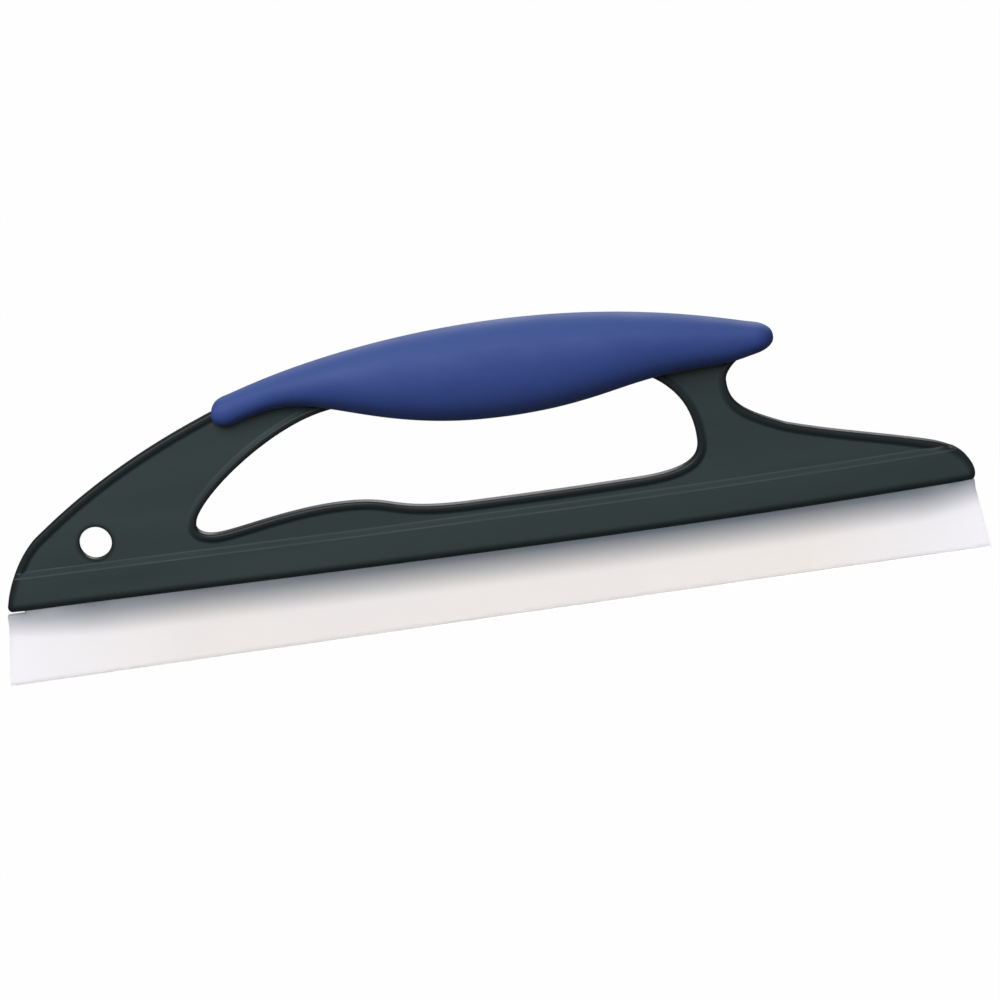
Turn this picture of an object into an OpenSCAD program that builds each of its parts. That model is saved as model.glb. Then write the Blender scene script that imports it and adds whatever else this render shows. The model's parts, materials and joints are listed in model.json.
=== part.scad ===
// Hand-held water blade: a flexible silicone blade in a moulded frame with a
// D-shaped hand opening and a soft grip moulded over its top bar.
// +X runs along the blade from the hanging end to the horn end, +Y is the
// thickness, +Z is up. The origin is the middle of the blade's working edge.

/* [Frame] */
// Thickness of the jaw
jaw_t = 8; // [7.5:0.5:9]
// Thickness of the rim and the bar inside the grip
rim_t = 5; // [4:0.5:6]
// Thickness of the recessed web
web_t = 3; // [2:0.5:4]
// Width of the raised rim around the outline and the hand opening
rim_w = 2.2; // [2:0.2:3.2]
// Diameter of the hanging hole
hang_hole_d = 10; // [6:0.5:12]
// Height of the jaw that holds the blade
jaw_h = 11.2; // [10.8:0.2:11.6]

/* [Blade] */
// Length of the blade along its working edge
blade_len = 307.5; // [305:0.5:310]
// How much longer the working edge is than the top of the blade
blade_flare = 5.5; // [3:0.5:6]
// Height of the line about which the blade bends
flex_z = 19.4; // [19:0.1:19.5]
// Thickness of the blade where it enters the jaw
blade_t = 4; // [3:0.5:4.5]
// Thickness of the blade near its working edge
blade_edge_t = 1.8; // [1.2:0.1:2.4]

/* [Blade fixing] */
// Depth of the slot in the jaw
slot_depth = 9.4; // [8.8:0.2:9.6]
// Diameter of the pegs that cross the slot
peg_d = 4; // [3:0.5:4]
// Number of pegs
peg_count = 8; // [4:1:10]
// Distance from the first peg to the last
peg_span = 252; // [220:4:280]

/* [Grip] */
// Thickness of the grip at its widest
grip_w = 27; // [24:1:30]
// Squareness of the grip's section, where 2 is an ellipse
grip_square = 2.2; // [2:0.1:2.6]

/* [Hidden] */
$fn = 48;

frame_color = [0.17, 0.19, 0.2];
grip_color = [0.2, 0.28, 0.58];
silicone_color = [0.92, 0.92, 0.95, 0.7];

// Curve segments in each piece of an outline
curve_steps = 14;
// Radius of the corners of the recess
recess_round = 0.4;
// How far the recess reaches in under the grip
recess_under_grip = 2;
// Height of the narrow ledge between the jaw's face and the recess
jaw_ledge = 0.3;
// How far a cutting shape runs past the face it cuts
past = 1;
// Gap between the blade's root and the slot, the pegs and the lip
fit_gap = 0.05;

// The jaw's bottom edge is one shallow bow between these ends
jaw_left_x = -148.8;
jaw_left_z = 23.6;
jaw_right_x = 149.6;
jaw_right_z = 22.5;
jaw_bottom = [[jaw_right_x, jaw_right_z], [50, 19.5], [-50, 22], [jaw_left_x, jaw_left_z]];

slot_left_x = -146.5;
slot_right_x = 146;
slot_top_z = bezier(jaw_bottom, 0.5)[1] + slot_depth;
peg_z = slot_top_z - 3.6;

hang_hole_x = -120.6;
hang_hole_z = 41.3;

// Working edge of the blade: its chamfer and its blunt tip
edge_chamfer = 1;
edge_tip_t = 1;
blade_top_len = blade_len - blade_flare;

// Where the grip's full sections end and its rounded ends begin
grip_tail_x = -74;
grip_horn_x = 88;
tail_round = 5.3;
horn_round = 7;
grip_rings = 30;
end_rings = 5;
ring_points = 28;
// Angle at which the outermost ring of a rounded end stands
end_angle = 8;

// Outlines are runs of cubic curves in X and Z: an end point, two control
// points, the next end point, and so on.
frame_outline = [
    [-150.3, 25.5],
    [-148.7, 32.4], [-145.2, 39.2], [-140, 44.1],     // rounded nose
    [-121.5, 58.5], [-100.4, 69], [-79, 76.6],        // shoulder
    [-55, 83], [-25, 86], [8, 86],                    // bar inside the grip
    [35, 86], [62, 83], [84, 79.5],
    [89, 78], [89, 72.5], [86, 71.5],                 // end of the bar
    [83, 70.2], [78.8, 67], [78.8, 64],               // back of the neck
    [78.8, 56.2], [83.2, 53.5], [95.1, 48.2],
    [109, 43.5], [124.3, 40.5], [138.6, 36.3],        // long tail
    [147, 33.8], [151.3, 29.5], [151.3, 24.8],
    [151.3, 23.4], [150.8, jaw_right_z], [jaw_right_x, jaw_right_z],
    jaw_bottom[1], jaw_bottom[2], [jaw_left_x, jaw_left_z],
    [-149.8, jaw_left_z], [-150.4, 24.3], [-150.3, 25.5]
];

opening_outline = [
    [-89.2, 42],
    [-89.2, 40.6], [-87.5, 38.8], [-83, 38.8],        // left corner
    [-77.3, 38.8], [-61.1, 42.9], [-46, 42.9],        // hump under the fingers
    [-24.4, 42.9], [-32, 37.4], [0, 37.4],
    [15, 37.4], [31, 37.4], [46, 37.4],
    [64, 37.4], [67.7, 41.1], [67.7, 46.5],           // right corner
    [67.7, 56], [63.9, 63.1], [56.5, 67.9],
    [50, 72.1], [30, 74], [8, 74],                    // bar inside the grip
    [-20, 74], [-35, 73.6], [-44.9, 72],
    [-63.4, 69], [-89.2, 49.2], [-89.2, 42]
];

grip_top = [
    [grip_tail_x, 81], [-47.5, 89], [-19.5, 92.5], [8, 92.5],
    [35.2, 92.5], [62.2, 88.5], [grip_horn_x, 80.8]
];

grip_bottom = [
    [grip_tail_x, 71.6], [-68.3, 73.3], [-63.1, 75.2], [-57, 75.2],
    [-42.4, 75.2], [-26.5, 62.3], [11, 62.3],
    [41.9, 62.3], [47.3, 69], [74, 69],
    [79.5, 69], [80.8, 68.5], [grip_horn_x, 70.6]
];

// Half thickness of the grip along X, as a share of grip_w / 2
grip_side = [
    [grip_tail_x, 0.46], [-50, 0.62], [-25, 1], [5, 1],
    [35, 1], [60, 0.84], [grip_horn_x, 0.56]
];

function bezier(p, t) =
    pow(1 - t, 3) * p[0] + 3 * pow(1 - t, 2) * t * p[1]
    + 3 * (1 - t) * t * t * p[2] + pow(t, 3) * p[3];

// Points along a run of curves, without its last point
function curve(run) = [
    for (i = [0 : 3 : len(run) - 4])
        for (k = [0 : curve_steps - 1])
            bezier([for (j = [0 : 3]) run[i + j]], k / curve_steps)
];

// The same with its last point, which makes it a table for lookup()
function open_curve(run) = concat(curve(run), [run[len(run) - 1]]);

function closing_angle(k) = end_angle + (90 - end_angle) * k / end_rings;

// Each station along the grip: X and how open the section is there, from
// nearly 0 at the rounded ends to 1
grip_stations = concat(
    [for (k = [0 : end_rings - 1]) let (a = closing_angle(k))
        [grip_tail_x - tail_round * cos(a), sin(a)]],
    [for (k = [0 : grip_rings]) [grip_tail_x + (grip_horn_x - grip_tail_x) * k / grip_rings, 1]],
    [for (k = [end_rings - 1 : -1 : 0]) let (a = closing_angle(k))
        [grip_horn_x + horn_round * cos(a), sin(a)]]
);

grip_top_table = open_curve(grip_top);
grip_bottom_table = open_curve(grip_bottom);
grip_side_table = open_curve(grip_side);

// The tail stays a little thicker than the frame right to its end
tail_half_w = rim_t / 2 + 1.3;

function grip_half_w(x, open) =
    let (full = grip_w / 2 * lookup(x, grip_side_table))
    x < 0 ? tail_half_w + (full - tail_half_w) * open : full * open;

function bulge(v) = sign(v) * pow(abs(v), 2 / grip_square);

function grip_ring(station) =
    let (
        x = station[0],
        top = lookup(x, grip_top_table),
        bottom = lookup(x, grip_bottom_table),
        half_h = (top - bottom) / 2 * station[1],
        half_w = grip_half_w(x, station[1])
    )
    [for (i = [0 : ring_points - 1]) let (a = 360 * i / ring_points)
        [x, half_w * bulge(cos(a)), (top + bottom) / 2 + half_h * bulge(sin(a))]];

// Extrudes a shape drawn in X and Z from y = y0 to y = y1
module slab(y0, y1) {
    translate([0, y1, 0])
        rotate([90, 0, 0])
            linear_extrude(height = y1 - y0)
                children();
}

// Extrudes a shape drawn in Y and Z along X, centred on x = 0
module bar(length) {
    rotate([90, 0, 90])
        linear_extrude(height = length, center = true)
            children();
}

// A cylinder along Y, centred on y = 0
module cross_pin(x, z, d, length) {
    translate([x, 0, z])
        rotate([90, 0, 0])
            cylinder(d = d, h = length, center = true);
}

module at_pegs() {
    for (i = [0 : peg_count - 1])
        translate([(i / (peg_count - 1) - 0.5) * peg_span, 0, 0])
            children();
}

module grip_profile() {
    last = len(grip_bottom_table) - 1;
    polygon(concat(grip_top_table, [for (i = [last : -1 : 0]) grip_bottom_table[i]]));
}

// Everything more than a height above the jaw's bottom edge. Its lower side
// follows that bowed edge and runs past both ends of it.
module above_jaw(height) {
    clear_of_grip_z = 100;
    jaw_top = [for (p = open_curve(jaw_bottom)) [1.05 * p[0], p[1] + height]];
    polygon(concat(
        jaw_top,
        [[jaw_top[len(jaw_top) - 1][0], clear_of_grip_z], [jaw_top[0][0], clear_of_grip_z]]
    ));
}

// The recess on one face: inside the rim, clear of the jaw and the grip's bar
module recess_shape() {
    offset(r = recess_round)
        offset(delta = -recess_round)
            difference() {
                intersection() {
                    offset(delta = -rim_w)
                        polygon(curve(frame_outline));
                    above_jaw(jaw_h + jaw_ledge);
                }
                offset(delta = rim_w)
                    polygon(curve(opening_outline));
                offset(delta = -recess_under_grip)
                    grip_profile();
            }
}

// Cuts a shape drawn in X and Z out of both faces, down to a thickness
module both_faces(left_t) {
    slab(left_t / 2, jaw_t / 2 + past)
        children();
    slab(-jaw_t / 2 - past, -left_t / 2)
        children();
}

module frame_body() {
    difference() {
        slab(-jaw_t / 2, jaw_t / 2)
            difference() {
                polygon(curve(frame_outline));
                polygon(curve(opening_outline));
            }
        both_faces(web_t)
            recess_shape();
        both_faces(rim_t)
            above_jaw(jaw_h);
        cross_pin(hang_hole_x, hang_hole_z, hang_hole_d, jaw_t + 2 * past);
    }
}

module blade_slot() {
    translate([slot_left_x, -blade_t / 2, 0])
        cube([slot_right_x - slot_left_x, blade_t, slot_top_z]);
}

// One moulding: rim, web, jaw, bar inside the grip, and pegs across the slot
module frame() {
    color(frame_color) {
        difference() {
            frame_body();
            blade_slot();
        }
        at_pegs()
            cross_pin(0, peg_z, peg_d, blade_t + past);
    }
}

// Soft grip moulded round the bar, filling the frame's recesses where it
// reaches over them
module grip() {
    rings = [for (s = grip_stations) grip_ring(s)];
    last = len(rings) - 1;
    color(grip_color)
        difference() {
            polyhedron(
                points = [for (ring = rings) each ring],
                faces = concat(
                    [[for (i = [0 : ring_points - 1]) i]],
                    [for (r = [0 : last - 1]) for (i = [0 : ring_points - 1])
                        let (j = (i + 1) % ring_points, a = r * ring_points, b = a + ring_points)
                            [a + i, b + i, b + j, a + j]],
                    [[for (i = [ring_points - 1 : -1 : 0]) last * ring_points + i]]
                )
            );
            frame_body();
        }
}

// Side view of the blade's root: a strip inside the slot, with an ear at each
// end under the jaw
module root_outline() {
    root_left_x = slot_left_x + 1;
    root_right_x = slot_right_x - 1;
    translate([root_left_x, 0])
        square([root_right_x - root_left_x, slot_top_z - 2 * fit_gap]);
    translate([-blade_top_len / 2, 0])
        square([blade_top_len, jaw_right_z - 0.2]);
}

// Section of the root: straight sides that draw in just above the flex line,
// so that the lip can swing under them
module root_section() {
    half_t = blade_t / 2 - fit_gap;
    draw_in = 0.3 * blade_t;
    polygon([
        [-half_t, slot_top_z], [half_t, slot_top_z],
        [half_t, flex_z + half_t], [draw_in, flex_z + draw_in],
        [-draw_in, flex_z + draw_in], [-half_t, flex_z + half_t]
    ]);
}

module blade_root() {
    color(silicone_color)
        difference() {
            intersection() {
                bar(blade_len + 2 * past)
                    root_section();
                slab(-blade_t, blade_t)
                    root_outline();
            }
            translate([0, 0, flex_z])
                rotate([0, 90, 0])
                    cylinder(r = blade_t / 2 + fit_gap, h = blade_len + 4 * past, center = true);
            at_pegs()
                cross_pin(0, peg_z, peg_d + 2 * fit_gap, blade_t + 2 * past);
        }
}

// Section of the lip: round top on the flex line, tapering to a chamfered edge
module lip_section() {
    polygon([
        [-blade_t / 2, flex_z], [-blade_edge_t / 2, edge_chamfer], [-edge_tip_t / 2, 0],
        [edge_tip_t / 2, 0], [blade_edge_t / 2, edge_chamfer], [blade_t / 2, flex_z]
    ]);
    translate([0, flex_z])
        circle(d = blade_t);
}

module lip_outline() {
    lip_top_z = flex_z + blade_t;
    half_top = blade_top_len / 2;
    polygon([
        [-blade_len / 2, 0], [blade_len / 2, 0], [half_top, flex_z],
        [half_top, lip_top_z], [-half_top, lip_top_z], [-half_top, flex_z]
    ]);
}

module blade_lip() {
    color(silicone_color)
        intersection() {
            bar(blade_len + 2 * past)
                lip_section();
            slab(-blade_t, blade_t)
                lip_outline();
        }
}

frame();
grip();
blade_root();
blade_lip();
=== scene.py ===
"""Looks of the silicone water blade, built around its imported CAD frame.

Plans are drawn in X and Z in millimetres, and a mesh is made from them in metres. The
outlines are cut from the CAD nodes when the script runs. What a cut doesn't give, such as
the roundings and the taper of the blade, is named below in millimetres.
"""

import json
import math

import bmesh
import bpy
import numpy as np
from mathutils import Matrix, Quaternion, Vector
from mathutils.geometry import delaunay_2d_cdt


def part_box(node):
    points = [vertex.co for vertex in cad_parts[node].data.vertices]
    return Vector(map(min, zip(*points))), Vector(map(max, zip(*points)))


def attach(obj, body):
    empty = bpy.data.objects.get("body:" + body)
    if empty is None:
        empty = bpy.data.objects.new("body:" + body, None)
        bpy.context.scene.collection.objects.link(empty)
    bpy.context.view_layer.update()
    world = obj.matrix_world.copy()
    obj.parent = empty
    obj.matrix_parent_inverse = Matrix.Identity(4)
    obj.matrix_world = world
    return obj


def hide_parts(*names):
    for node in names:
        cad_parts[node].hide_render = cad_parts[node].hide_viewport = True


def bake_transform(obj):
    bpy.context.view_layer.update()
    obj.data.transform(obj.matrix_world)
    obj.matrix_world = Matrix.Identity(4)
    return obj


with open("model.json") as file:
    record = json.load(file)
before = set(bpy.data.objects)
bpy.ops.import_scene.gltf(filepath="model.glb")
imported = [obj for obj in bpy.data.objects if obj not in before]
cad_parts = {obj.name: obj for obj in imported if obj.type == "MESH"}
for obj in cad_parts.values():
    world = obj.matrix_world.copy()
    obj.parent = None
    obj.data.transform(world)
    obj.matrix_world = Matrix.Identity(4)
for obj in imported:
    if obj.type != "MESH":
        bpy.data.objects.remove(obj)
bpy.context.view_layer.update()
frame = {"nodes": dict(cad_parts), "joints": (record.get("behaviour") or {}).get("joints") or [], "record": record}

MM = 0.001

# Cuts through the CAD nodes: how far inside a face, how far off a node's middle plane, and
# how far inside the ends of the grip's loft
slice_inset = 0.1
off_middle = 0.013
section_nudge = 0.01
# A cut's point is dropped when it lies this near its neighbours' line, or this near the one
# before it
straight_within = 0.001
points_apart = 0.01

# Outlines: distance between points, and the turn above which a corner stays sharp
outline_step = 1.2
corner_turn = math.radians(25)
hole_points = 64

# Length below which an edge left by a cut between meshes is taken away
sliver = 0.002

# Frame moulding: width and drop of each rounded edge
bead_round = (0.9, 0.9)
jaw_round = (2.6, 1.4)
jaw_end_round = (0.5, 0.4)
hole_round = (0.3, 0.3)
round_steps = 5
# Half the width of the slope at the recess and at the jaw, and how far past a rounding or a
# slope the last guide runs, as a share of its width
recess_slope = 0.8
jaw_slope = 0.9
slope_steps = 9
flat_past = 1.2
# Above the jaw by this much, the recess follows the CAD's recess and not the rim's width
grip_zone = 20.0
# Mould seam round the edge walls
seam_half_w = 0.2
seam_proud = 0.05
# Band along the edges and round the hanging hole: smoother by polish, and darker by painted shade
polish_shade_w = 2.5
polish_shade_hole_w = 1.6
polish_shade_fade = 1.3
# The slot's sides stand off the blade's root, and its cutter reaches down past the jaw
slot_gap = 0.05
slot_cutter_h = 20.0
slot_from_edge = 0.5

# Blade: roundings, mesh spacing and thicknesses
trim_round = 0.2
row_step = 1.0
column_step = 4.0
chamfer_z = 1.0
tip_t = 1.0
edge_t = 1.8
# Shade under the jaw: how deep it is, and how much thinner it is at four places along X
shadow_depth = 11.2
shadow_x = (-152.0, -125.0, 135.0, 152.0)
shadow_thinning = (3.0, 0.4, 0.2, 2.5)
# Distance from the middle at which the silicone starts to clear, and at which it is clear
clear_end_x = (95.0, 150.0)

# Grip: its rounded ends, which carry on the taper measured over the last taper_reach
tail_round = 5.3
horn_round = 7.0
tail_proud = 1.3
taper_reach = 3.0
cap_taper = 0.45
cap_bluntness = 0.8
cad_end_angle = 8.0
first_ring_angle = 6.0
end_rings = 7
grip_square = 2.2
grip_stations = 44
ring_points = 32

# Camera: the point that it looks at, its height above level and its roll in degrees, the
# width of the view there, and its lens
view_centre = (4.8, 0.0, 36.5)
view_elevation = 11.0
view_roll = -8.1
view_span = 309.0
lens = 150.0

# The world's strength as light and through the silicone, and how far the floor is a glow of
# its own to the rays that see it
world_strength = 0.05
world_through_silicone = 0.6
floor_glow = 0.99

# Colours, linear
frame_dark = (0.024, 0.037, 0.038, 1)
frame_light = (0.030, 0.044, 0.045, 1)
# Painted shade: the darker colour of the polished band along the frame's edges
frame_painted_edge_shade = (0.010, 0.015, 0.016, 1)
grip_deep = (0.022, 0.049, 0.205, 1)
grip_pale = (0.027, 0.056, 0.222, 1)
# Painted light: the paler colour where the grip faces up
grip_painted_top_light = (0.041, 0.077, 0.246, 1)
silicone_cool = (0.965, 0.95, 0.99, 1)
silicone_warm = (0.925, 0.88, 0.855, 1)
silicone_dull = (0.90, 0.87, 0.865, 1)
silicone_shaded = (0.05, 0.085, 0.125, 1)

floor_seen = (1.0, 1.0, 1.0, 1)
floor_felt = (0.16, 0.16, 0.16, 1)

# Name, azimuth and elevation of where it stands, distance, size and power
studio_lights = (
    ("key", -16, 43, 1.5, 1.1, 27),
    ("front", 0, 12, 1.8, 0.8, 2),
    ("back", 170, 35, 1.5, 0.9, 10),
)


# ---------------------------------------------------------------- plans from the CAD nodes

def slice_loops(node, axis, level):
    """The closed loops where the plane axis = level cuts a CAD node, in mm, as arrays of
    the other two coordinates. Level is in mm too."""
    mesh = frame["nodes"][node].data
    mesh.calc_loop_triangles()
    points = np.array([v.co for v in mesh.vertices]) / MM
    ids = {}
    welded = [ids.setdefault(tuple(p), len(ids)) for p in points.round(4)]
    above = points[:, axis] > level
    place = {}
    links = {}
    for triangle in mesh.loop_triangles:
        crossed = []
        for a, b in zip(triangle.vertices, np.roll(triangle.vertices, -1)):
            if above[a] == above[b]:
                continue
            share = (level - points[a][axis]) / (points[b][axis] - points[a][axis])
            key = tuple(sorted((welded[a], welded[b])))
            place[key] = np.delete(points[a] + share * (points[b] - points[a]), axis)
            crossed.append(key)
        if crossed:
            links.setdefault(crossed[0], []).append(crossed[1])
            links.setdefault(crossed[1], []).append(crossed[0])
    loops = []
    while links:
        here = next(iter(links))
        loop = []
        while here in links:
            loop.append(place[here])
            onward = [k for k in links.pop(here) if k in links]
            here = onward[0] if onward else None
        loops.append(drop_straight(np.array(loop)))
    return loops


def drop_straight(loop):
    """A loop without the points that lie on the line between their neighbours."""
    kept = list(loop)
    i = 0
    while i < len(kept):
        a, b, c = kept[i - 1], kept[i], kept[(i + 1) % len(kept)]
        along = c - a
        off_line = abs(along[0] * (b - a)[1] - along[1] * (b - a)[0]) / np.hypot(*along)
        if off_line < straight_within or np.hypot(*(b - a)) < points_apart:
            kept.pop(i)
        else:
            i += 1
    return np.array(kept)


def area(loop):
    x, z = loop.T
    return 0.5 * np.sum(x * np.roll(z, -1) - np.roll(x, -1) * z)


def turned(loop, counterclockwise):
    return loop if (area(loop) > 0) == counterclockwise else loop[::-1]


def smooth_loop(loop, step=outline_step, turn=corner_turn):
    """A curve through a loop's points about every step mm, which keeps the corners that turn
    by more than an angle. With an angle of 0 its sides stay straight."""
    ahead = np.roll(loop, -1, axis=0) - loop
    length = np.hypot(*ahead.T)
    onward = ahead / length[:, None]
    inward = np.roll(onward, 1, axis=0)
    back = np.roll(length, 1)
    mean = (inward * length[:, None] + onward * back[:, None]) / (length + back)[:, None]
    corner = np.sum(inward * onward, axis=1) < math.cos(turn)
    leave = np.where(corner[:, None], onward, mean)
    arrive = np.roll(np.where(corner[:, None], inward, mean), -1, axis=0)
    points = []
    for p, q, h, m, n in zip(loop, np.roll(loop, -1, axis=0), length, leave, arrive):
        count = max(1, round(h / step))
        for t in np.arange(count) / count:
            points.append(
                (1 + 2 * t) * (1 - t) ** 2 * p + t * t * (3 - 2 * t) * q
                + h * t * (1 - t) * ((1 - t) * m - t * n)
            )
    return np.array(points)


def offset(loop, distance):
    """A loop moved to its left by distance: a counterclockwise one shrinks."""
    along = np.roll(loop, -1, axis=0) - np.roll(loop, 1, axis=0)
    along /= np.hypot(*along.T)[:, None]
    return loop + distance * np.column_stack((-along[:, 1], along[:, 0]))


def circle(centre, radius, count):
    angle = np.arange(count) * 2 * math.pi / count
    return np.array(centre) + radius * np.column_stack((np.cos(angle), np.sin(angle)))


def distance_to(loop, points):
    """Distance from each point to a loop."""
    nearest = np.full(len(points), np.inf)
    for a, b in zip(loop, np.roll(loop, -1, axis=0)):
        along = b - a
        share = np.clip((points - a) @ along / (along @ along), 0, 1)
        nearest = np.minimum(nearest, np.hypot(*(points - a - share[:, None] * along).T))
    return nearest


def within(loop, points):
    """Which points a loop holds."""
    held = np.zeros(len(points), bool)
    x, z = points.T
    for a, b in zip(loop, np.roll(loop, -1, axis=0)):
        spans = (a[1] > z) != (b[1] > z)
        if spans.any():
            held ^= spans & (x < a[0] + (z - a[1]) * (b[0] - a[0]) / (b[1] - a[1]))
    return held


def fill_plan(outline, holes, guides):
    """Triangles over an outline less its holes, with an edge along every guide loop and line.
    Guides may cross each other. Returns the points and the triangles."""
    points = []
    edges = []
    for line, closed in [(loop, True) for loop in (outline, *holes)] + guides:
        first = len(points)
        points.extend(Vector(p) for p in line)
        edges.extend((i, i + 1) for i in range(first, len(points) - 1))
        if closed:
            edges.append((len(points) - 1, first))
    made, _, triangles, *_ = delaunay_2d_cdt(points, edges, [], 0, 1e-4)
    plan = np.array([p[:] for p in made])
    middles = np.array([plan[t].mean(axis=0) for t in triangles])
    held = within(outline, middles)
    for hole in holes:
        held &= ~within(hole, middles)
    faces = [t if area(plan[t]) > 0 else t[::-1] for t, keep in zip(triangles, held) if keep]
    used = sorted({i for face in faces for i in face})
    new_id = {old: new for new, old in enumerate(used)}
    return plan[used], [[new_id[i] for i in face] for face in faces]


# ---------------------------------------------------------------- meshes

def add_object(name, mesh):
    piece = bpy.data.objects.new(name, mesh)
    bpy.context.scene.collection.objects.link(piece)
    return piece


def two_sided(name, plan, faces, half_t, seam=0.0):
    """A closed mesh with a plan's faces half_t either side of y = 0 and walls round its
    borders. A seam above 0 is a low ridge along the middle of the walls."""
    directed = {(a, b) for f in faces for a, b in zip(f, f[1:] + f[:1])}
    border = [(a, b) for a, b in directed if (b, a) not in directed]
    border.sort()
    outward = np.zeros_like(plan)
    for a, b in border:
        x, z = plan[b] - plan[a]
        outward[[a, b]] += np.array((z, -x)) / math.hypot(x, z)
    bm = bmesh.new()

    def vertex(i, y, shift=0.0):
        x, z = plan[i] + shift * outward[i] / max(np.hypot(*outward[i]), 1e-9)
        return bm.verts.new(Vector((x, y, z)) * MM)

    front = [vertex(i, -half_t[i]) for i in range(len(plan))]
    back = [vertex(i, half_t[i]) for i in range(len(plan))]
    for face in faces:
        bm.faces.new([front[i] for i in face])
        bm.faces.new([back[i] for i in reversed(face)])
    columns = {}
    for i in sorted({i for edge in border for i in edge}):
        ridge = []
        if seam:
            ridge = [vertex(i, -seam_half_w), vertex(i, 0, seam), vertex(i, seam_half_w)]
        columns[i] = [front[i], *ridge, back[i]]
    for a, b in border:
        for k in range(len(columns[a]) - 1):
            bm.faces.new(
                (columns[b][k], columns[a][k], columns[a][k + 1], columns[b][k + 1])
            )
    mesh = bpy.data.meshes.new(name)
    bm.to_mesh(mesh)
    bm.free()
    return add_object(name, mesh)


def bake_modifiers(piece):
    """Makes a piece's mesh what its modifiers give."""
    bpy.context.view_layer.update()
    evaluated = piece.evaluated_get(bpy.context.evaluated_depsgraph_get())
    piece.data = bpy.data.meshes.new_from_object(evaluated)
    piece.modifiers.clear()


def remove_slivers(piece):
    """Merges vertices that all but coincide, splits every face into triangles, and drops the
    empty ones and those that are left back to back."""
    bm = bmesh.new()
    bm.from_mesh(piece.data)
    bmesh.ops.remove_doubles(bm, verts=bm.verts, dist=sliver * MM)
    bmesh.ops.dissolve_degenerate(bm, edges=bm.edges, dist=sliver * MM)
    bmesh.ops.triangulate(bm, faces=[face for face in bm.faces if len(face.verts) > 3])
    same_corners = {}
    for face in bm.faces:
        same_corners.setdefault(frozenset(face.verts), []).append(face)
    flaps = [face for faces in same_corners.values() if len(faces) > 1 for face in faces]
    bmesh.ops.delete(bm, geom=flaps, context="FACES")
    bm.to_mesh(piece.data)
    bm.free()


def subtract(piece, cutter, keep_cutter=False):
    """Cuts one closed mesh out of another."""
    cut = piece.modifiers.new("cut", "BOOLEAN")
    cut.operation = "DIFFERENCE"
    cut.solver = "EXACT"
    cut.object = cutter
    bake_modifiers(piece)
    remove_slivers(piece)
    if not keep_cutter:
        bpy.data.objects.remove(cutter)


def shade(piece, sharp_angle=38.0):
    """Smooth shading with an edge kept sharp above an angle in degrees."""
    piece.data.shade_smooth()
    piece.data.set_sharp_from_angle(angle=math.radians(sharp_angle))


def smoothstep(t):
    t = np.clip(t, 0, 1)
    return t * t * (3 - 2 * t)


def rounded_edge(inset, width, drop):
    """How far an edge rounded over a width lies below its face, at some distance in from the
    border."""
    left = 1 - np.clip(inset / width, 0, 1)
    return drop * (1 - np.sqrt(1 - left * left))


def slope(rise, half_w):
    """1 well below a line and 0 well above it, with a smooth slope across the line."""
    return smoothstep(0.5 - rise / (2 * half_w))


def edge_shares():
    """Shares of a rounded edge's width, closest together at the border, and one just past
    it that keeps the flat beside it flat."""
    turns = [1 - math.cos(k * math.pi / 2 / round_steps) for k in range(1, round_steps + 1)]
    return turns + [flat_past]


def slope_shares():
    """Shares of a slope's half width on both sides of its line, with one past each end."""
    return [-flat_past, *np.linspace(-1, 1, slope_steps), flat_past]


def store(piece, name, value_at):
    """Stores a value on each vertex of a piece, worked out from its X and Z in mm."""
    points = np.array([v.co for v in piece.data.vertices])[:, [0, 2]] / MM
    stored = piece.data.attributes.new(name, "FLOAT", "POINT")
    stored.data.foreach_set("value", value_at(points).astype(np.float32))


# ---------------------------------------------------------------- frame

def rim_half_t():
    """Half the thickness of the rim, taken from the bar inside the grip, which is as thick."""
    bar = max(slice_loops("frame", 0, off_middle), key=lambda loop: loop[:, 1].max())
    return bar[:, 0].max()


def frame_outline():
    """The frame's outline, its recess and its hand opening, as smooth loops."""
    near_face = slice_loops("frame", 1, rim_half_t() - slice_inset)
    near_face.sort(key=lambda loop: -np.ptp(loop[:, 0]))
    outer, recess, opening = near_face
    return (
        smooth_loop(turned(outer, True)),
        smooth_loop(turned(recess, True)),
        smooth_loop(turned(opening, False)),
    )


def hanging_hole():
    """The middle, radius and depth of the hanging hole. It is as deep as the web is thick."""
    hole = frame["record"]["mounts"][0]
    size = hole["dims"]
    return np.array(hole["pos_m"])[[0, 2]] / MM, size["r_mm"], size["length_mm"]


def jaw_line(outer):
    """The upper edge of the jaw's face, from its left end to its right end."""
    band, = slice_loops("frame", 1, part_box("frame")[1].y / MM - slice_inset)
    inner = distance_to(outer, band) > 4 * slice_inset
    line = band[inner | np.roll(inner, 1) | np.roll(inner, -1)]
    return line[np.argsort(line[:, 0])]


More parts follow.
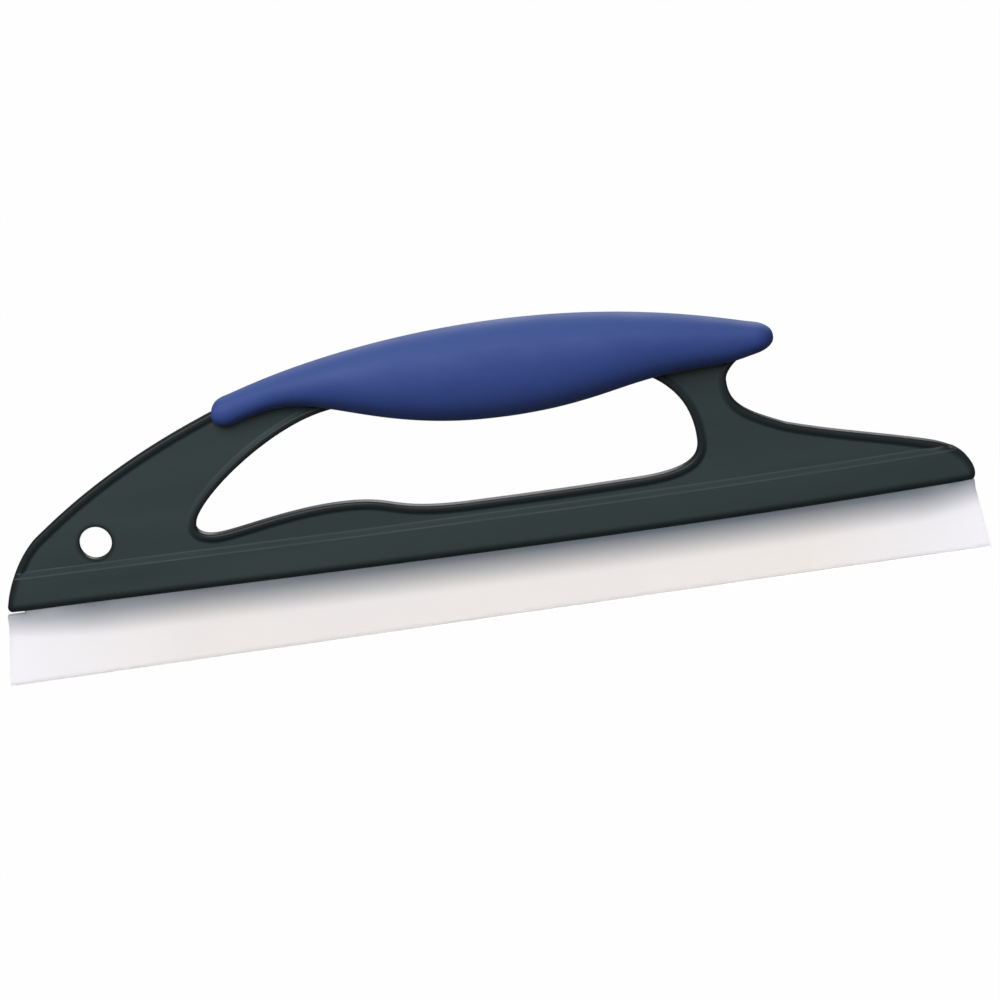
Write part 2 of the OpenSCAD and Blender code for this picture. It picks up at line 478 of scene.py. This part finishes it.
def frame_half_t(plan, outer, recess, opening, line):
    """Half the thickness of the moulding over its plan: a round bead, a web and a jaw."""
    hole_at, hole_r, web_t = hanging_hole()
    jaw_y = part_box("frame")[1].y / MM
    rim_y = rim_half_t()
    web_y = web_t / 2

    rise = plan[:, 1] - np.interp(plan[:, 0], *line.T)
    to_border = np.minimum(distance_to(outer, plan), distance_to(opening, plan))
    rim_w = distance_to(outer, recess).min()
    into_recess = distance_to(recess, plan) * np.where(within(recess, plan), 1, -1)
    past_rim = np.where(rise > grip_zone, into_recess, to_border - rim_w)
    bead = web_y + (rim_y - web_y) * slope(past_rim, recess_slope)
    bead = np.minimum(bead, rim_y - rounded_edge(to_border, *bead_round))
    to_hole = np.hypot(*(plan - hole_at).T) - hole_r
    bead = np.where(to_hole < hole_round[0], web_y - rounded_edge(to_hole, *hole_round), bead)

    bottom = outer[outer[:, 1] < line[:, 1].min() - 2 * jaw_round[0]]
    bottom = bottom[np.argsort(bottom[:, 0])]
    to_bottom = np.maximum(plan[:, 1] - np.interp(plan[:, 0], *bottom.T), 0)
    jaw = jaw_y - np.maximum(
        rounded_edge(to_bottom, *jaw_round), rounded_edge(to_border, *jaw_end_round)
    )
    return bead + (jaw - bead) * slope(rise, jaw_slope)


def slot_cutter(outer):
    """The room inside the jaw for the blade's root, with holes where the pegs stay."""
    loops = slice_loops("frame", 1, off_middle)
    middle = loops[0]
    hole_at, *_ = hanging_hole()
    inside = distance_to(outer, middle) > slot_from_edge
    corners = middle[inside & (middle[:, 1] < hole_at[1])]
    left, top = corners.min(axis=0)
    right = corners[:, 0].max()
    below = top - slot_cutter_h
    mouth = np.array(((left, below), (right, below), (right, top), (left, top)))
    pegs = [turned(loop, False) for loop in loops if within(mouth, loop).all()]
    plan, faces = fill_plan(mouth, pegs, [])
    half_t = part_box("blade_root")[1].y / MM + slot_gap
    return two_sided("slot", plan, faces, np.full(len(plan), half_t))


def edge_polish_and_shade(points):
    """How polished, and how darkened by painted shade, each point of the moulding is: 1 at its edges and 0 on its
    faces.
    """
    outer, _, opening = frame_outline()
    hole_at, hole_r, _ = hanging_hole()
    to_edge = np.minimum(distance_to(outer, points), distance_to(opening, points))
    to_hole = np.abs(np.hypot(*(points - hole_at).T) - hole_r)
    nearest = np.minimum(to_edge, to_hole + polish_shade_w - polish_shade_hole_w)
    return smoothstep((polish_shade_w - nearest) / polish_shade_fade)


def build_frame():
    """The moulding: a bead round the outline and the hand opening, a recessed web, the jaw
    with a slope above it, the hanging hole, and the slot with the pegs across it."""
    outer, recess, opening = frame_outline()
    line = jaw_line(outer)
    hole_at, hole_r, _ = hanging_hole()
    hang_hole = turned(circle(hole_at, hole_r, hole_points), False)

    guides = []
    for share in edge_shares():
        for width, _ in (bead_round, jaw_round, jaw_end_round):
            guides.append((offset(outer, width * share), True))
        guides.append((offset(opening, bead_round[0] * share), True))
        guides.append((offset(hang_hole, hole_round[0] * share), True))
        guides.append((offset(hang_hole, polish_shade_hole_w * share), True))
    for share in slope_shares():
        guides.append((offset(recess, recess_slope * share), True))
        guides.append((line + (0, jaw_slope * share), False))
    plan, faces = fill_plan(outer, [opening, hang_hole], guides)
    half_t = frame_half_t(plan, outer, recess, opening, line)
    moulding = two_sided("frame_moulding", plan, faces, half_t, seam_proud)
    subtract(moulding, slot_cutter(outer))
    # Polish and painted shade along the edges and round the hanging hole
    store(moulding, "polish_and_shade", edge_polish_and_shade)
    shade(moulding)
    return moulding


# ---------------------------------------------------------------- blade

def jaw_shade(plan):
    """How open each point of the blade is to the light: 0 at the jaw, 1 well below it, and
    sooner towards the blade's ends."""
    outer, *_ = frame_outline()
    below = distance_to(outer, plan) * ~within(outer, plan)
    thinned = np.interp(plan[:, 0], shadow_x, shadow_thinning)
    return np.clip((below + thinned) / shadow_depth, 0, 1)


def build_blade(flex_z):
    """The silicone strip in one piece: its root in the slot, with holes for the pegs, and
    the lip that tapers to a chamfered working edge."""
    lip_low, lip_high = (np.array(corner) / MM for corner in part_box("blade_lip"))
    root_low, root_high = (np.array(corner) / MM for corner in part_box("blade_root"))
    root, *pegs = slice_loops("blade_root", 1, off_middle)
    root = turned(root, True)
    root = np.roll(root, -np.argmax(root[:, 0] - root[:, 1]), axis=0)
    outline = np.array((
        (lip_low[0], 0), (lip_high[0], 0), (root_high[0], flex_z), *root, (root_low[0], flex_z)
    ))
    outline = smooth_loop(outline, column_step, turn=0)
    pegs = [turned(loop, False) for loop in pegs]

    guides = []
    for share in edge_shares():
        guides.append((offset(outline, trim_round * share), True))
    columns = np.arange(lip_low[0] - 1, lip_high[0] + 1, column_step)
    for z in np.arange(chamfer_z, root_low[2], row_step):
        guides.append((np.column_stack((columns, np.full(len(columns), z))), False))
    plan, faces = fill_plan(outline, pegs, guides)
    half_t = np.interp(
        plan[:, 1], (0, chamfer_z, flex_z), (tip_t / 2, edge_t / 2, lip_high[1])
    )
    half_t = np.minimum(half_t, root_high[1])
    half_t -= rounded_edge(distance_to(outline, plan), trim_round, trim_round)
    blade = two_sided("silicone_blade", plan, faces, half_t)
    store(blade, "open_to_light", jaw_shade)
    shade(blade, sharp_angle=30)
    return blade


# ---------------------------------------------------------------- grip

def bulge(v):
    return np.sign(v) * np.abs(v) ** (2 / grip_square)


def grip_section(x):
    """Half width, middle height and half height of the grip at x."""
    y, z = np.vstack(slice_loops("grip", 0, x)).T
    middle = z[np.argmax(np.abs(y))]
    return np.abs(y).max(), middle, z.max() - middle


def end_taper(x, inward):
    """The grip's section at one end of its loft, and how it changes with each mm past it."""
    edge = np.array(grip_section(x + math.copysign(section_nudge, inward)))
    return edge, cap_taper * (edge - grip_section(x + inward)) / abs(inward)


def build_grip():
    """The soft grip: a loft of squarish ovals, rounded off at the tail and the horn."""
    low, high = (np.array(corner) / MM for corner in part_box("grip"))
    short = math.cos(math.radians(cad_end_angle))
    tail_x = low[0] + tail_round * short
    horn_x = high[0] - horn_round * short
    tail_w = rim_half_t() + tail_proud
    closing = np.radians(np.linspace(first_ring_angle, 90, end_rings, endpoint=False))

    rings = []
    edge, drift = end_taper(tail_x, taper_reach)
    for a in closing:
        past = tail_round * math.cos(a)
        full_w, middle, half_h = edge + drift * past
        half_w = tail_w + (full_w - tail_w) * math.sin(a)
        rings.append((tail_x - past, half_w, middle, half_h * math.sin(a) ** cap_bluntness))
    for x in np.linspace(tail_x + section_nudge, horn_x - section_nudge, grip_stations):
        rings.append((x, *grip_section(x)))
    edge, drift = end_taper(horn_x, -taper_reach)
    for a in closing[::-1]:
        past = horn_round * math.cos(a)
        full_w, middle, half_h = edge + drift * past
        shrink = math.sin(a) ** cap_bluntness
        rings.append((horn_x + past, full_w * shrink, middle, half_h * shrink))

    angle = np.arange(ring_points) * 2 * math.pi / ring_points
    bm = bmesh.new()
    made = []
    for x, half_w, middle, half_h in rings:
        y = half_w * bulge(np.cos(angle))
        z = middle + half_h * bulge(np.sin(angle))
        made.append([bm.verts.new(Vector((x, b, c)) * MM) for b, c in zip(y, z)])
    for ring, onward in zip(made, made[1:]):
        for i in range(ring_points):
            j = (i + 1) % ring_points
            bm.faces.new((ring[i], ring[j], onward[j], onward[i]))
    bm.faces.new(made[0][::-1])
    bm.faces.new(made[-1])
    bmesh.ops.recalc_face_normals(bm, faces=bm.faces)
    mesh = bpy.data.meshes.new("soft_grip")
    bm.to_mesh(mesh)
    bm.free()
    grip = add_object("soft_grip", mesh)
    finer = grip.modifiers.new("finer", "SUBSURF")
    finer.levels = 2
    finer.render_levels = 2
    bake_modifiers(grip)
    shade(grip)
    return grip


# ---------------------------------------------------------------- materials

def srgb(*levels):
    """A linear colour from 0 to 255 display levels."""
    shares = np.array(levels) / 255
    linear = np.where(shares > 0.04045, ((shares + 0.055) / 1.055) ** 2.4, shares / 12.92)
    return (*linear, 1.0)


class Look:
    """A Principled material, with the few moves that the materials below share."""

    def __init__(self, name, **inputs):
        self.material = bpy.data.materials.new(name)
        self.material.use_nodes = True
        self.tree = self.material.node_tree
        self.shader = self.tree.nodes["Principled BSDF"]
        self.place = self.node("ShaderNodeTexCoord").outputs["Object"]
        for key, value in inputs.items():
            self.feed(self.shader, key.replace("_", " "), value)

    def feed(self, node, key, value):
        if isinstance(value, bpy.types.NodeSocket):
            self.tree.links.new(value, node.inputs[key])
        else:
            node.inputs[key].default_value = value

    def node(self, kind, settings=(), **inputs):
        made = self.tree.nodes.new(kind)
        for key, value in dict(settings).items():
            setattr(made, key, value)
        for key, value in inputs.items():
            self.feed(made, key.replace("_", " "), value)
        return made

    def noise(self, size, stretch=(1, 1, 1), detail=2.0):
        """Noise with features about size mm across, longer along an axis by its stretch."""
        place = self.node(
            "ShaderNodeMapping", Vector=self.place, Scale=[1 / s for s in stretch]
        ).outputs["Vector"]
        made = self.node("ShaderNodeTexNoise", Vector=place, Scale=1 / (size * MM), Detail=detail)
        return made.outputs["Fac"]

    def spread(self, value, start, end, low=0, high=1):
        """A value from start to end turned into one from low to high."""
        made = self.node(
            "ShaderNodeMapRange", Value=value, From_Min=start, From_Max=end, To_Min=low, To_Max=high
        )
        return made.outputs["Result"]

    def mix(self, share, first, second):
        made = self.node("ShaderNodeMix", {"data_type": "RGBA"})
        self.feed(made, 0, share)
        self.feed(made, 6, first)
        self.feed(made, 7, second)
        return made.outputs[2]

    def bump(self, height, depth):
        """Surface relief of depth mm."""
        return self.node("ShaderNodeBump", Height=height, Distance=depth * MM).outputs["Normal"]

    def finish(self, **inputs):
        for key, value in inputs.items():
            self.feed(self.shader, key.replace("_", " "), value)
        return self.material


def frame_plastic():
    """Charcoal polypropylene: faces with a fine eroded texture and faint flow marks along
    the moulding, and smooth polished edges with painted shade that makes them darker."""
    look = Look("frame_plastic", IOR=1.49, Specular_IOR_Level=0.22)
    polish_and_shade = look.node("ShaderNodeAttribute", {"attribute_name": "polish_and_shade"}).outputs["Fac"]
    flow = look.noise(size=14, stretch=(7, 1, 1), detail=3)
    colour = look.mix(look.spread(flow, 0.35, 0.65), frame_dark, frame_light)
    scuffs = look.noise(size=2.5, stretch=(9, 1, 1), detail=4)
    textured = look.spread(scuffs, 0.35, 0.7, 0.54, 0.68)
    grain = look.noise(size=0.35, detail=3)
    return look.finish(
        # Painted shade: the polished band along the edges is darker in colour
        Base_Color=look.mix(polish_and_shade, colour, frame_painted_edge_shade),
        Roughness=look.node(
            "ShaderNodeMapRange", Value=polish_and_shade, To_Min=textured, To_Max=0.45
        ).outputs["Result"],
        Normal=look.bump(look.spread(polish_and_shade, 0, 1, grain, 0.5), depth=0.012),
    )


def soft_touch():
    """Matt blue thermoplastic rubber with a fine grain, and painted light that makes it paler
    where it faces up."""
    look = Look(
        "soft_grip_rubber", IOR=1.5, Specular_IOR_Level=0.3,
        Sheen_Weight=0.2, Sheen_Roughness=0.4
    )
    mottle = look.noise(size=9, stretch=(2, 1, 1), detail=3)
    colour = look.mix(look.spread(mottle, 0.3, 0.7), grip_deep, grip_pale)
    facing = look.node("ShaderNodeTexCoord").outputs["Normal"]
    upward = look.node("ShaderNodeSeparateXYZ", Vector=facing).outputs["Z"]
    # Painted light: paler colour where the surface faces up
    colour = look.mix(look.spread(upward, 0.35, 0.9), colour, grip_painted_top_light)
    grain = look.noise(size=0.28, detail=4)
    handled = look.noise(size=16, stretch=(2, 1, 1), detail=2)
    return look.finish(
        Base_Color=colour,
        Roughness=look.spread(handled, 0.35, 0.65, 0.58, 0.7),
        Sheen_Tint=srgb(150, 170, 235),
        Normal=look.bump(grain, depth=0.02),
    )


def silicone():
    """Frosted clear silicone: light passes through it softly. It is cooler and clearer near
    its ends, and clouds slightly between them."""
    look = Look("clear_silicone", IOR=1.41, Transmission_Weight=0.85)
    cloud = look.noise(size=24, stretch=(2.5, 1, 1), detail=2)
    middle = look.mix(look.spread(cloud, 0.35, 0.65), silicone_dull, silicone_warm)
    along = look.node("ShaderNodeSeparateXYZ", Vector=look.place).outputs["X"]
    off_centre = look.node("ShaderNodeMath", {"operation": "ABSOLUTE"}, Value=along).outputs[0]
    clear_from, clear_to = (x * MM for x in clear_end_x)
    colour = look.mix(look.spread(off_centre, clear_from, clear_to), middle, silicone_cool)
    lit = look.node("ShaderNodeAttribute", {"attribute_name": "open_to_light"}).outputs["Fac"]
    colour = look.mix(lit, silicone_shaded, colour)
    drag = look.noise(size=1.2, stretch=(14, 1, 1), detail=3)
    return look.finish(
        Base_Color=colour,
        Roughness=look.spread(drag, 0.3, 0.7, 0.34, 0.46),
        Normal=look.bump(drag, depth=0.01),
    )


# ---------------------------------------------------------------- studio

def build_floor():
    """A plain pale sheet. It is bright to the camera and to whatever light has come through
    the silicone, and throws only a little light back up on the rest."""
    bpy.ops.mesh.primitive_plane_add(size=12)
    floor = bpy.context.object
    floor.name = "floor"
    look = Look("floor_paper", Roughness=0.9, Specular_IOR_Level=0.0, Base_Color=floor_felt)
    seen = look.node("ShaderNodeEmission", Color=floor_seen, Strength=1.0)
    ray = look.node("ShaderNodeLightPath").outputs
    direct = look.node("ShaderNodeMath", {"operation": "MAXIMUM", "use_clamp": True})
    for socket, kind in enumerate(("Is Camera Ray", "Transmission Depth")):
        look.tree.links.new(ray[kind], direct.inputs[socket])
    blend = look.node("ShaderNodeMixShader", Fac=look.spread(direct.outputs[0], 0, 1, 0, floor_glow))
    look.tree.links.new(look.shader.outputs[0], blend.inputs[1])
    look.tree.links.new(seen.outputs[0], blend.inputs[2])
    look.tree.links.new(blend.outputs[0], look.tree.nodes["Material Output"].inputs["Surface"])
    floor.data.materials.append(look.material)


def build_world():
    """Faint light from all round, but pale to the camera and through the silicone."""
    world = bpy.data.worlds.new("studio")
    world.use_nodes = True
    nodes = world.node_tree.nodes
    links = world.node_tree.links
    ray = nodes.new("ShaderNodeLightPath")
    through = nodes.new("ShaderNodeMapRange")
    through.inputs["To Min"].default_value = world_strength
    through.inputs["To Max"].default_value = world_through_silicone
    strength = nodes.new("ShaderNodeMath")
    strength.operation = "MAXIMUM"
    links.new(ray.outputs["Transmission Depth"], through.inputs["Value"])
    links.new(through.outputs["Result"], strength.inputs[0])
    links.new(ray.outputs["Is Camera Ray"], strength.inputs[1])
    links.new(strength.outputs[0], nodes["Background"].inputs["Strength"])
    nodes["Background"].inputs["Color"].default_value = (1, 1, 1, 1)
    bpy.context.scene.world = world


def build_lights():
    for name, azimuth, elevation, reach, size, power in studio_lights:
        light = bpy.data.lights.new(name, "AREA")
        light.shape = "DISK"
        light.size = size
        light.energy = power
        lamp = add_object(name, light)
        a, e = math.radians(azimuth), math.radians(elevation)
        back = Vector((math.sin(a) * math.cos(e), -math.cos(a) * math.cos(e), math.sin(e)))
        lamp.location = back * reach
        lamp.rotation_mode = "QUATERNION"
        lamp.rotation_quaternion = (-back).to_track_quat("-Z", "Y")


def build_camera():
    """The photograph's view: from a little above, tilted so that the +X end is higher."""
    cam = bpy.data.cameras.new("camera")
    cam.lens = lens
    camera = add_object("camera", cam)
    tilt = Quaternion((1, 0, 0), math.radians(90 - view_elevation))
    camera.rotation_mode = "QUATERNION"
    camera.rotation_quaternion = tilt @ Quaternion((0, 0, 1), math.radians(view_roll))
    away = view_span * MM * lens / cam.sensor_width
    camera.location = Vector(view_centre) * MM + tilt @ Vector((0, 0, away))
    bpy.context.scene.camera = camera


def main():
    joint = frame["joints"][0]
    flex_z = joint["pos_m"][2] / MM
    moulding = build_frame()
    blade = build_blade(flex_z)
    grip = build_grip()
    subtract(grip, moulding, keep_cutter=True)
    shade(grip)

    moulding.data.materials.append(frame_plastic())
    grip.data.materials.append(soft_touch())
    blade.data.materials.append(silicone())

    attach(moulding, "handle")
    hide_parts("frame")
    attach(grip, "handle")
    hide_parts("grip")
    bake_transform(blade)
    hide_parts("blade_root", "blade_lip")

    build_floor()
    build_world()
    build_lights()
    build_camera()
    bpy.context.scene.view_settings.view_transform = "Standard"


main()
